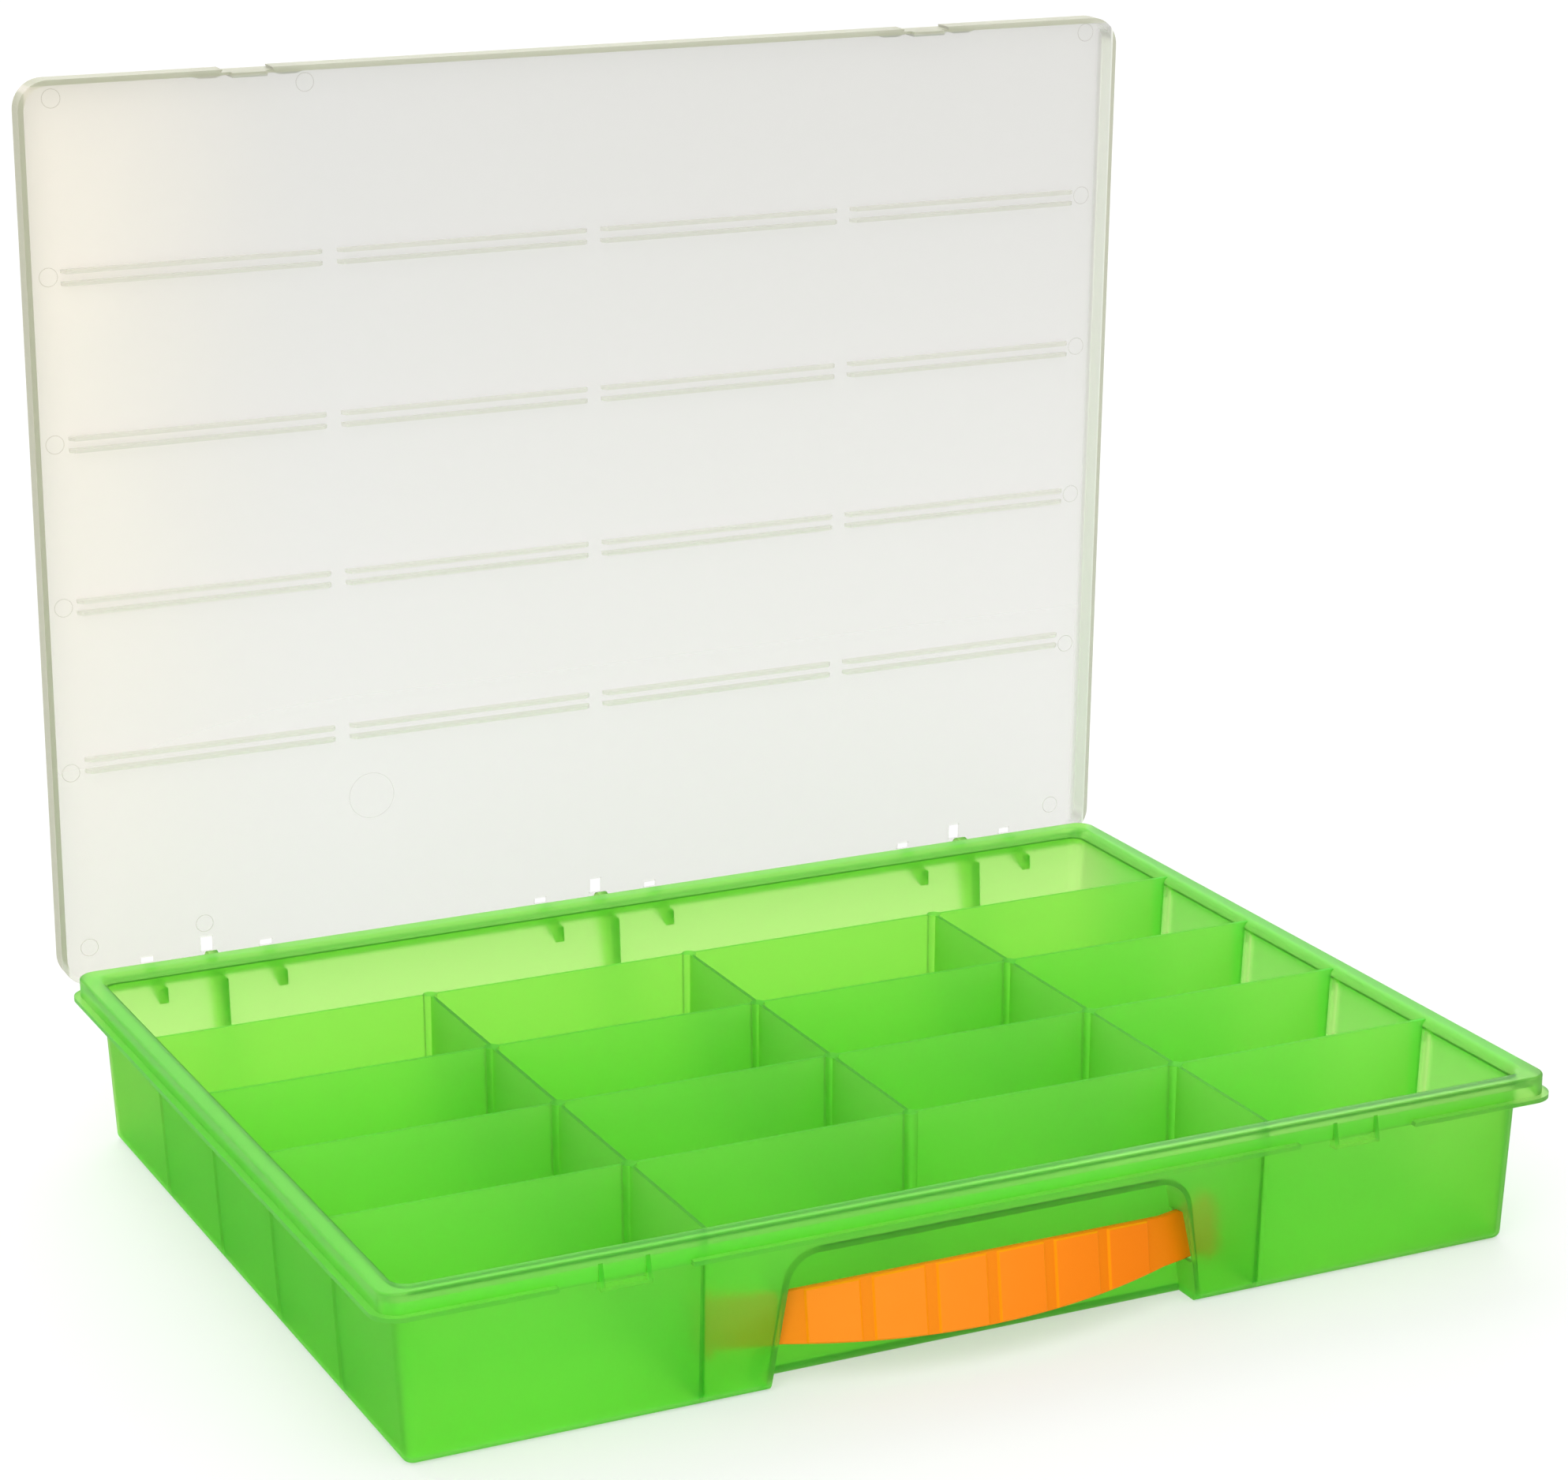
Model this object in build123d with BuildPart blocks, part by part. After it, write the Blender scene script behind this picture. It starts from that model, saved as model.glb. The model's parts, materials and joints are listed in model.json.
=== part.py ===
"""Parts organizer: a compartment tray, a hinged lid and a sliding carry strap.

Frame: X runs from left to right along the front, Y from front to back, Z up.  The origin is
the middle of the tray's underside.  The lid stands open, as the organizer is shown in use.
All sizes are in millimetres and all angles in degrees.
"""
from build123d import *
import os
from math import asin, cos, degrees, radians, sin, sqrt, tan

os.makedirs("parts", exist_ok=True)

# ---------------------------------------------------------------- driving dimensions
# tray
rim_width = 394.0          # outside of the rim, left to right
rim_depth = 298.0          # outside of the rim, front to back
tray_height = 58.0         # underside to the top of the rim
rim_radius = 6.5           # outer corners of the rim, in plan
wall = 1.6                 # thickness of the moulded walls
floor_thickness = 1.8
draft = 2.7                # lean of the outer walls towards the floor
bottom_radius = 2.5        # round along the outer bottom edge
wall_inset = 6.2           # rim face to outer wall face, under the flange
wall_corner_radius = 6.0   # outer vertical corners of the body

# rim
skirt_drop = 8.0           # top of the rim to the underside of the flange
skirt_wall = 1.5
rim_web = 3.4              # thickness of the rim's top
rim_outer_round = 0.8
rim_inner_round = 3.0
flange_reach = 2.2         # how far the flange stands out from the rim face
flange_thickness = 1.5
flange_gap_width = 42.0    # stretch with no flange at each latch

# dividers
row_pitch = 55.3           # spacing of the four dividers that run left to right
first_row_from_back = 70.7  # rim face at the back to the first of them
outer_column_width = 101.7  # rim face at the side to the outer column dividers
divider_top_width = 1.3
divider_draft = 0.5
divider_below_rim = 0.5    # dividers end this far below the top of the rim
post_diameter = 4.8        # ejector post at every crossing
groove_width = 3.0         # mouth of the V groove behind each divider, on the outside
groove_depth = 0.9

# recess for the strap, in the front wall
recess_half_width = 67.5   # at recess_flare_from below the rim
recess_flare = 8.9         # lean of the two jambs, wider towards the floor
recess_flare_from = 21.0
recess_top_drop = 15.3     # top of the rim to the ceiling of the recess
recess_corner_radius = 10.0
recess_depth = 19.0        # rim face to the back panel of the recess

# carry strap
strap_apex_inset = 0.7     # rim face to the strap's centre line at the middle of its bow
strap_jamb_inset = 12.7    # rim face to its centre line at the sides of the recess
strap_thickness = 2.4
strap_drop = 34.6          # top of the rim to its centre line at the middle of its bow
strap_lean = 7.8           # turn about that middle, lower edge forwards
strap_end_height = 16.0
strap_grip_height = 23.0
strap_grip_half_length = 65.0
strap_half_length = 90.0   # middle of the strap to its end
strap_rest_shift = 3.7     # the strap rests slid this far to the left
pad_count = 6
pad_pitch = 20.0
pad_groove = 4.0           # between neighbouring pads
pad_border = 0.4           # above and below the pads
pad_rise = 0.8
head_length = 5.0          # enlarged snap head at each end
head_height = 21.6
head_tip_height = 15.0
head_thickness = 4.0

# lid and hinge
lid_plate = 1.6
lid_lip_wall = 1.8
lid_corner_radius = 10.0
lid_edge_round = 1.2
hinge_behind_rim = 5.1     # rim face to hinge axis, backwards
hinge_below_rim = 5.5      # top of the rim to hinge axis
rod_radius = 2.0
rod_end_inset = 11.0       # end of the rod to the side of the lid
open_angle = 88.3          # lid from closed to its stop
outer_hinge_inset = 50.4   # rim face at the side to the outer hinges
hook_wall = 1.9
hook_width = 3.4
hook_from, hook_to = -125.0, 115.0   # hook round the rod, from the rear, up positive
hook_neck_from = -30.0     # where the rib leaves the hook's outside
hook_neck_length = 10.0
hook_rib_foot = 3.0        # reach of the hook's rib at the floor
slot_reach = 5.5           # length of the slot over each hook, in the lid's plate
slot_behind = 2.1          # hinge axis to the slot, forwards
stop_offset = 21.5         # hinge to each of its two stops
stop_width = 3.2
stop_root_height = 5.3     # height of a stop arm at the wall
stop_tip_height = 1.8      # height of a stop arm under the rod
stop_lug_length = 2.4      # lug that the open lid leans on, front to back
window_width = 4.8         # window in the lid's plate over each stop
window_length = 2.3
window_behind = 1.1        # hinge axis to the window, forwards
lid_rib_height = 3.0
lid_rib_width = 1.2
lid_rib_pair = 4.0         # spacing of the two ribs that straddle a divider
lid_rib_chamfer = 1.5

# latches
latch_inset = 73.4         # rim face at the side to each latch
catch_inner_width = 13.4
catch_rib = 1.4
catch_reach = 1.7          # how far the catch stands out from the rim face
catch_below_skirt = 2.6
catch_lip = 1.2
catch_from_top = 2.4       # top of the rim to the start of the catch's ramps
thumb_notch_depth = 0.9    # dip outside the lid's lip at each latch
pad_length = 9.6           # thicker stretch of the lip beside each catch
pad_slope = 2.0            # length of the slope at its ends

# named clearances
lid_seat_gap = 0.2         # tray to the closed lid, up and down
lip_side_gap = 1.2         # rim face to the inside of the lid's lip
rod_gap = 0.35             # rod to hook
hook_slot_gap = 0.6        # hook to the sides of its slot in the lid
stop_gap = 0.3             # stop lug to the open lid
arm_gap = 0.5              # stop arm to rod
latch_gap = 0.5            # tongue to rim face and to the foot of the catch
latch_side_gap = 0.8       # tongue and pads to the sides of the catch
lid_rib_end_gap = 2.4      # ribs under the lid to the inside of the rim
lid_rib_post_gap = 0.4     # ribs under the lid to a post
strap_slot_gap = 0.4       # strap to its slot in the jambs
through = 1.0              # overlength of a cutting tool

# ---------------------------------------------------------------- derived values
half_width, half_depth = rim_width / 2, rim_depth / 2
flange_z = tray_height - skirt_drop
web_z = tray_height - rim_web
divider_top_z = tray_height - divider_below_rim
lean = tan(radians(draft))
front_face = -half_depth
row_ys = [half_depth - first_row_from_back - k * row_pitch for k in range(4)]
column_xs = [outer_column_width - half_width, 0.0, half_width - outer_column_width]
hinge_xs = [outer_hinge_inset - half_width, 0.0, half_width - outer_hinge_inset]
latch_xs = [latch_inset - half_width, half_width - latch_inset]
stop_xs = [x + side * stop_offset for x in hinge_xs for side in (-1, 1)]
side_names = ["left", "centre", "right"]
hinge_y, hinge_z = half_depth + hinge_behind_rim, tray_height - hinge_below_rim


def outer_inset(z):
    """Rim face to the outer wall face at height z."""
    return wall_inset + (flange_z - z) * lean


def inner_inset(z):
    """Rim face to the inner wall face at height z."""
    return outer_inset(z) + wall


def plan_size(inset):
    """Width and depth of a rectangle that lies this far inside the rim."""
    return rim_width - 2 * inset, rim_depth - 2 * inset


def recess_half_at(z):
    """Half the width of the recess at height z."""
    return recess_half_width + (tray_height - recess_flare_from - z) * tan(radians(recess_flare))


# ---------------------------------------------------------------- tray shell
# The inside of the tray, which every divider is trimmed to: a block that tapers to the
# floor, with upright sides through the rim.
with BuildPart() as cavity:
    with BuildSketch(Plane.XY.offset(web_z)):
        RectangleRounded(*plan_size(inner_inset(web_z)), wall_corner_radius - wall)
    extrude(amount=-(web_z - floor_thickness), taper=draft)
    with BuildSketch(Plane.XY.offset(web_z)):
        RectangleRounded(*plan_size(inner_inset(web_z)), wall_corner_radius - wall)
    extrude(amount=rim_web)

recess_top_z = tray_height - recess_top_drop
recess_y = front_face + recess_depth


def recess_corners(grow):
    """Front view of the recess, open below, drawn larger all round by grow."""
    side = grow / cos(radians(recess_flare))
    top, bottom = recess_top_z + grow, -through
    return [
        (-recess_half_at(bottom) - side, bottom),
        (-recess_half_at(top) - side, top),
        (recess_half_at(top) + side, top),
        (recess_half_at(bottom) + side, bottom),
    ]


with BuildPart() as recess_block:
    with BuildSketch(Plane.XZ.offset(-front_face)):
        with BuildLine():
            arch = FilletPolyline(*recess_corners(wall), radius=recess_corner_radius + wall)
            Line(arch @ 1, arch @ 0)
        make_face()
    extrude(amount=-(recess_depth + wall))

with BuildPart() as recess_space:
    with BuildSketch(Plane.XZ.offset(-front_face)):
        with BuildLine():
            arch = FilletPolyline(*recess_corners(0), radius=recess_corner_radius)
            Line(arch @ 1, arch @ 0)
        make_face()
    extrude(amount=-recess_depth)

with BuildPart() as body_block:
    with BuildSketch(Plane.XY.offset(web_z)):
        RectangleRounded(*plan_size(outer_inset(web_z)), wall_corner_radius)
    extrude(amount=-web_z, taper=draft)
    fillet(body_block.edges().group_by(Axis.Z)[0], bottom_radius)

# A groove is cut by a rhombus whose centre runs along the wall's face.
groove_corners = [(-groove_depth, 0), (0, -groove_width / 2), (groove_depth, 0), (0, groove_width / 2)]

with BuildPart() as tray_shell:
    add(body_block.part)
    add(cavity.part, mode=Mode.SUBTRACT)
    add(recess_block.part, mode=Mode.SUBTRACT)
    # grooves outside the side walls, one behind each row divider
    for side in (-1, 1):
        wall_x = side * (half_width - outer_inset(flange_z))
        with BuildSketch(Plane.XY.offset(flange_z)):
            with Locations(*[(wall_x, y) for y in row_ys]):
                Polygon(*groove_corners)
        extrude(amount=flange_z / cos(radians(draft)) + through, dir=(-side * lean, 0, -1), mode=Mode.SUBTRACT)
    # grooves outside the front wall, one behind each outer column divider
    with BuildSketch(Plane.XY.offset(flange_z)):
        with Locations(*[(x, front_face + outer_inset(flange_z)) for x in (column_xs[0], column_xs[2])]):
            Polygon(*groove_corners, rotation=90)
    extrude(amount=flange_z / cos(radians(draft)) + through, dir=(0, lean, -1), mode=Mode.SUBTRACT)
    # grooves under the floor, along the row dividers
    with BuildSketch(Plane.YZ.offset(-half_width)):
        with Locations(*[(y, 0) for y in row_ys]):
            Polygon(*groove_corners, rotation=90)
    extrude(amount=rim_width, mode=Mode.SUBTRACT)
tray_shell.part.label = "tray_shell"
export_step(tray_shell.part, "parts/tray_shell.step")

# ---------------------------------------------------------------- recess lining
# Ceiling, back panel and two jambs, with a slot in each jamb that the strap slides in.
strap_z = tray_height - strap_drop
strap_apex_y = front_face + strap_apex_inset
strap_sag = strap_jamb_inset - strap_apex_inset
strap_radius = (recess_half_at(strap_z)**2 + strap_sag**2) / (2 * strap_sag)


def strap_bow(distance):
    """Depth of the strap's bow at a distance along X from its middle."""
    return strap_radius - sqrt(strap_radius**2 - distance**2)


strap_end_z = strap_z - strap_sag * sin(radians(strap_lean))
slot_near = recess_half_at(strap_end_z + strap_end_height / 2) - strap_rest_shift
slot_far = recess_half_at(strap_end_z - strap_end_height / 2) + strap_rest_shift + 2 * wall
slot_half = strap_thickness / 2 + strap_slot_gap
slot_front = strap_bow(slot_near) - slot_half
slot_back = strap_bow(slot_far) + slot_half

with BuildPart() as handle_recess:
    add(recess_block.part)
    add(body_block.part, mode=Mode.INTERSECT)
    add(recess_space.part, mode=Mode.SUBTRACT)
    with BuildSketch(Plane.YZ.offset(-half_width)):
        with Locations(Location((strap_apex_y, strap_z, 0), (0, 0, -strap_lean))):
            with Locations(((slot_front + slot_back) / 2, 0)):
                Rectangle(slot_back - slot_front, strap_end_height + 2 * strap_slot_gap)
    extrude(amount=rim_width, mode=Mode.SUBTRACT)
handle_recess.part.label = "handle_recess"
export_step(handle_recess.part, "parts/handle_recess.step")

# ---------------------------------------------------------------- rim
with BuildPart() as tray_rim:
    with BuildSketch(Plane.XY.offset(flange_z)):
        RectangleRounded(rim_width, rim_depth, rim_radius)
    extrude(amount=skirt_drop)
    fillet(tray_rim.edges().group_by(Axis.Z)[-1], rim_outer_round)
    with BuildSketch(Plane.XY.offset(flange_z)):
        RectangleRounded(*plan_size(-flange_reach), rim_radius + flange_reach)
        with Locations(*[(x, front_face) for x in latch_xs]):
            Rectangle(flange_gap_width, 2 * flange_reach, align=(Align.CENTER, Align.MAX), mode=Mode.SUBTRACT)
    extrude(amount=flange_thickness)
    with BuildSketch(Plane.XY.offset(flange_z)):
        RectangleRounded(*plan_size(skirt_wall), rim_radius - skirt_wall)
    extrude(amount=web_z - flange_z, mode=Mode.SUBTRACT)
    with BuildSketch(Plane.XY.offset(web_z)):
        RectangleRounded(*plan_size(inner_inset(web_z)), wall_corner_radius - wall)
    extrude(amount=rim_web, mode=Mode.SUBTRACT)
    opening_edges = tray_rim.edges().filter_by_position(Axis.Z, tray_height, tray_height)
    fillet(opening_edges.filter_by(lambda e: abs(e.center().X) < half_width - wall_inset
                                   and abs(e.center().Y) < half_depth - wall_inset), rim_inner_round)
tray_rim.part.label = "tray_rim"
export_step(tray_rim.part, "parts/tray_rim.step")

# ---------------------------------------------------------------- latch catches
# A U on the rim's face: two ramps that the lid's lip rides over and a lip across their feet.
catch_foot_z = flange_z - catch_below_skirt
catch_head_z = tray_height - catch_from_top
for name, x in zip(("left", "right"), latch_xs):
    with BuildPart() as latch_catch:
        for side in (-1, 1):
            inner_x = x + side * catch_inner_width / 2
            with BuildSketch(Plane.YZ.offset(inner_x)):
                with BuildLine():
                    Polyline(
                        (front_face, catch_head_z),
                        (front_face - catch_reach, catch_foot_z + catch_lip),
                        (front_face - catch_reach, catch_foot_z),
                        (front_face + skirt_wall, catch_foot_z),
                        (front_face + skirt_wall, flange_z),
                        (front_face, flange_z),
                        close=True,
                    )
                make_face()
            extrude(amount=side * catch_rib)
        with BuildSketch(Plane.XY.offset(catch_foot_z)):
            with Locations((x, front_face + skirt_wall)):
                Rectangle(catch_inner_width, catch_reach + skirt_wall, align=(Align.CENTER, Align.MAX))
        extrude(amount=catch_lip)
    latch_catch.part.label = f"latch_catch_{name}"
    export_step(latch_catch.part, f"parts/latch_catch_{name}.step")

# ---------------------------------------------------------------- dividers
with BuildPart() as divider_space:
    add(cavity.part)
    with BuildSketch(Plane.XY.offset(web_z)):
        RectangleRounded(*plan_size(inner_inset(web_z) - rim_inner_round), wall_corner_radius)
    extrude(amount=rim_web)
    add(tray_rim.part, mode=Mode.SUBTRACT)

divider_height = divider_top_z - floor_thickness
divider_foot_width = divider_top_width + 2 * divider_height * tan(radians(divider_draft))


def divider_section(centre):
    """Corners of a divider seen end on: wider at the floor than at the top."""
    return [
        (centre - divider_foot_width / 2, floor_thickness),
        (centre - divider_top_width / 2, divider_top_z),
        (centre + divider_top_width / 2, divider_top_z),
        (centre + divider_foot_width / 2, floor_thickness),
    ]


row_dividers = []
for number, y in enumerate(row_ys, 1):
    with BuildPart() as row_divider:
        with BuildSketch(Plane.YZ.offset(-half_width)):
            with BuildLine():
                Polyline(*divider_section(y), close=True)
            make_face()
        extrude(amount=rim_width)
        with BuildSketch(Plane.XY.offset(floor_thickness)):
            with Locations(*[(x, y) for x in column_xs]):
                Circle(post_diameter / 2)
        extrude(amount=divider_height)
        add(divider_space.part, mode=Mode.INTERSECT)
    row_divider.part.label = f"row_divider_{number}"
    export_step(row_divider.part, f"parts/row_divider_{number}.step")
    row_dividers.append(row_divider.part)

for name, x in zip(side_names, column_xs):
    # the middle divider stops at the front row, whose middle compartment is twice as wide
    front_end = row_ys[-1] if x == 0 else front_face
    with BuildPart() as column_divider:
        with BuildSketch(Plane.XZ.offset(-front_end)):
            with BuildLine():
                Polyline(*divider_section(x), close=True)
            make_face()
        extrude(amount=-(row_ys[0] - front_end))
        add(divider_space.part, mode=Mode.INTERSECT)
        for crossing in row_dividers:
            add(crossing, mode=Mode.SUBTRACT)
    column_divider.part.label = f"column_divider_{name}"
    export_step(column_divider.part, f"parts/column_divider_{name}.step")

# ---------------------------------------------------------------- hinge hooks
# A full height rib behind the back wall that ends in an open hook round the lid's rod.
hook_radius = rod_radius + rod_gap
hook_outer = hook_radius + hook_wall


def on_hook(radius, angle):
    """Point at a radius and angle about the hinge axis, as (y, z)."""
    return hinge_y + radius * cos(radians(angle)), hinge_z + radius * sin(radians(angle))


rib_foot_y = half_depth - outer_inset(bottom_radius)
neck_y, neck_z = on_hook(hook_outer, hook_neck_from)
neck_y += hook_neck_length * sin(radians(hook_neck_from))
neck_z -= hook_neck_length * cos(radians(hook_neck_from))
for name, x in zip(side_names, hinge_xs):
    with BuildPart() as hinge_hook:
        with BuildSketch(Plane.YZ.offset(x - hook_width / 2)):
            with Locations((hinge_y, hinge_z)):
                Circle(hook_outer)
            with BuildLine():
                Polyline(
                    (hinge_y, hinge_z),
                    on_hook(2 * hook_outer, hook_to),
                    on_hook(2 * hook_outer, 180),
                    on_hook(2 * hook_outer, hook_from),
                    close=True,
                )
            make_face(mode=Mode.SUBTRACT)
            with BuildLine():
                Polyline(
                    (rib_foot_y, bottom_radius),
                    (rib_foot_y + hook_rib_foot, bottom_radius),
                    (neck_y, neck_z),
                    on_hook(hook_outer, hook_neck_from),
                    on_hook(hook_outer, -90),
                    (half_depth + flange_reach, flange_z),
                    (half_depth - outer_inset(flange_z), flange_z),
                    close=True,
                )
            make_face()
            with Locations((hinge_y, hinge_z)):
                Circle(hook_radius, mode=Mode.SUBTRACT)
        extrude(amount=hook_width)
    hinge_hook.part.label = f"hinge_hook_{name}"
    export_step(hinge_hook.part, f"parts/hinge_hook_{name}.step")

# ---------------------------------------------------------------- lid stops
# Arms under the flange that reach back below the rod, each with a lug that the rear web of
# the open lid leans on.
half_web = lid_lip_wall / 2
lug_start = rod_radius + stop_gap
arm_top = hinge_z - rod_radius - arm_gap
web_underside = hinge_z - half_web / sin(radians(open_angle))
lug_top = web_underside + lug_start / tan(radians(open_angle)) - stop_gap
lug_front, lug_back = hinge_y + lug_start, hinge_y + lug_start + stop_lug_length
for number, x in enumerate(stop_xs, 1):
    with BuildPart() as lid_stop:
        with BuildSketch(Plane.YZ.offset(x - stop_width / 2)):
            with BuildLine():
                Polyline(
                    (half_depth - outer_inset(flange_z), flange_z),
                    (half_depth - outer_inset(flange_z - stop_root_height), flange_z - stop_root_height),
                    (hinge_y, arm_top - stop_tip_height),
                    (lug_back, arm_top - stop_tip_height),
                    (lug_back, lug_top),
                    (lug_front, lug_top),
                    (lug_front, arm_top),
                    (half_depth + flange_reach, flange_z),
                    close=True,
                )
            make_face()
        extrude(amount=stop_width)
    lid_stop.part.label = f"lid_stop_{number}"
    export_step(lid_stop.part, f"parts/lid_stop_{number}.step")

# ---------------------------------------------------------------- lid
# Every piece of the lid is drawn closed and then swung open about the hinge.
hinge_line = Axis((0, hinge_y, hinge_z), (1, 0, 0))
lid_half_width = half_width + lip_side_gap + lid_lip_wall
lid_front = -half_depth - lip_side_gap - lid_lip_wall
lid_back = hinge_y + half_web
lid_mid_y = (lid_front + lid_back) / 2
lid_depth = lid_back - lid_front
lip_z = flange_z + flange_thickness + lid_seat_gap
plate_z = tray_height + lid_seat_gap
lid_top_z = plate_z + lid_plate
rod_half = lid_half_width - rod_end_inset
slot_width = hook_width + 2 * hook_slot_gap
catch_half = catch_inner_width / 2 + catch_rib
notch_width = 2 * (catch_half + latch_side_gap)


def swing_open(piece):
    """The piece turned about the hinge from closed to open."""
    return piece.rotate(hinge_line, -open_angle)


with BuildPart() as rod:
    with BuildSketch(Plane.YZ.offset(-rod_half)):
        with Locations((hinge_y, hinge_z)):
            Circle(rod_radius)
    extrude(amount=2 * rod_half)
    chamfer(rod.edges().filter_by(GeomType.CIRCLE), rod_radius / 4)
lid_hinge_rod = swing_open(rod.part)
lid_hinge_rod.label = "lid_hinge_rod"
export_step(lid_hinge_rod, "parts/lid_hinge_rod.step")

with BuildPart() as panel:
    with BuildSketch(Plane.XY.offset(lip_z)):
        with Locations((0, lid_mid_y)):
            RectangleRounded(2 * lid_half_width, lid_depth, lid_corner_radius)
    extrude(amount=lid_top_z - lip_z)
    fillet(panel.edges().group_by(Axis.Z)[-1], lid_edge_round)
    with BuildSketch(Plane.XY.offset(lip_z)):
        with Locations((0, lid_mid_y)):
            RectangleRounded(
                2 * (lid_half_width - lid_lip_wall),
                lid_depth - 2 * lid_lip_wall,
                lid_corner_radius - lid_lip_wall,
            )
    extrude(amount=plate_z - lip_z, mode=Mode.SUBTRACT)
    # thumb notches in the front lip
    with BuildSketch(Plane.XY.offset(lip_z)):
        with Locations(*[(x, lid_front) for x in latch_xs]):
            Trapezoid(notch_width, 2 * thumb_notch_depth, 60, rotation=180)
    extrude(amount=lid_top_z - lip_z, mode=Mode.SUBTRACT)
    # the rear web ends on the rod, and is open at the hooks
    with BuildSketch(Plane.XY.offset(lip_z)):
        with Locations((0, hinge_y)):
            Rectangle(2 * rod_half, 2 * rod_radius)
    extrude(amount=hinge_z - lip_z, mode=Mode.SUBTRACT)
    with BuildSketch(Plane.XY.offset(lip_z)):
        with Locations(*[(x, hinge_y) for x in hinge_xs]):
            Rectangle(slot_width, 2 * rod_radius)
    extrude(amount=plate_z - lip_z, mode=Mode.SUBTRACT)
    add(rod.part, mode=Mode.SUBTRACT)
    # slots over the hooks and windows over the stops, through the plate
    with BuildSketch(Plane.XY.offset(plate_z)):
        with Locations(*[(x, hinge_y - slot_behind) for x in hinge_xs]):
            Rectangle(slot_width, slot_reach, align=(Align.CENTER, Align.MAX))
        with Locations(*[(x, hinge_y - window_behind) for x in stop_xs]):
            Rectangle(window_width, window_length, align=(Align.CENTER, Align.MAX))
    extrude(amount=lid_plate, mode=Mode.SUBTRACT)
lid_panel = swing_open(panel.part)
lid_panel.label = "lid_panel"
export_step(lid_panel, "parts/lid_panel.step")

# ---------------------------------------------------------------- ribs under the lid
# Pairs of ribs that straddle each row divider, in four stretches between the posts.
post_gap = post_diameter / 2 + lid_rib_post_gap
rib_end = half_width - inner_inset(web_z) - lid_rib_end_gap
rib_starts = [-rib_end] + [x + post_gap for x in column_xs]
rib_ends = [x - post_gap for x in column_xs] + [rib_end]
for number, y in enumerate(row_ys, 1):
    with BuildPart() as rib_row:
        for start, end in zip(rib_starts, rib_ends):
            for side in (-1, 1):
                rib_y = y + side * lid_rib_pair / 2
                with BuildSketch(Plane.XZ.offset(-rib_y - lid_rib_width / 2)):
                    with BuildLine():
                        Polyline(
                            (start, plate_z),
                            (end, plate_z),
                            (end, plate_z - lid_rib_height + lid_rib_chamfer),
                            (end - lid_rib_chamfer, plate_z - lid_rib_height),
                            (start + lid_rib_chamfer, plate_z - lid_rib_height),
                            (start, plate_z - lid_rib_height + lid_rib_chamfer),
                            close=True,
                        )
                    make_face()
                extrude(amount=lid_rib_width)
    lid_rib_row = swing_open(rib_row.part)
    lid_rib_row.label = f"lid_rib_row_{number}"
    export_step(lid_rib_row, f"parts/lid_rib_row_{number}.step")

# ---------------------------------------------------------------- lid latches
# A tongue that drops into the catch, and a thicker stretch of lip on each side of it.
lip_inside = -half_depth - lip_side_gap
tongue_front = lid_front + thumb_notch_depth
tongue_foot = flange_z - catch_below_skirt + catch_lip + latch_gap
pad_from = catch_half + latch_side_gap
for name, x in zip(("left", "right"), latch_xs):
    with BuildPart() as latch:
        with BuildSketch(Plane.YZ.offset(x - catch_inner_width / 2 + latch_side_gap)):
            with BuildLine():
                Polyline(
                    (-half_depth - latch_gap, tongue_foot + latch_gap),
                    (-half_depth - 2 * latch_gap, tongue_foot),
                    (tongue_front, tongue_foot),
                    (tongue_front, lip_z),
                    (lip_inside, lip_z),
                    (lip_inside, plate_z),
                    (-half_depth - latch_gap, plate_z),
                    close=True,
                )
            make_face()
        extrude(amount=catch_inner_width - 2 * latch_side_gap)
        for side in (-1, 1):
            with BuildSketch(Plane.XY.offset(lip_z)):
                with BuildLine():
                    Polyline(
                        (x + side * pad_from, lip_inside),
                        (x + side * (pad_from + pad_slope), -half_depth - latch_gap),
                        (x + side * (pad_from + pad_length - pad_slope), -half_depth - latch_gap),
                        (x + side * (pad_from + pad_length), lip_inside),
                        close=True,
                    )
                make_face()
            extrude(amount=plate_z - lip_z)
    lid_latch = swing_open(latch.part)
    lid_latch.label = f"lid_latch_{name}"
    export_step(lid_latch, f"parts/lid_latch_{name}.step")

# ---------------------------------------------------------------- carry strap
# A band bowed in plan, wider over the grip, with raised pads and a snap head at each end.
strap_x = -strap_rest_shift
bow_centre = (strap_x, strap_apex_y + strap_radius)
half_angle = degrees(asin(strap_half_length / strap_radius))
grip_extra = (strap_grip_height - strap_end_height) / 2


def bow_point(radius, angle):
    """Point on the strap's bow, at an angle from its middle."""
    return bow_centre[0] + radius * sin(radians(angle)), bow_centre[1] - radius * cos(radians(angle))


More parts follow.
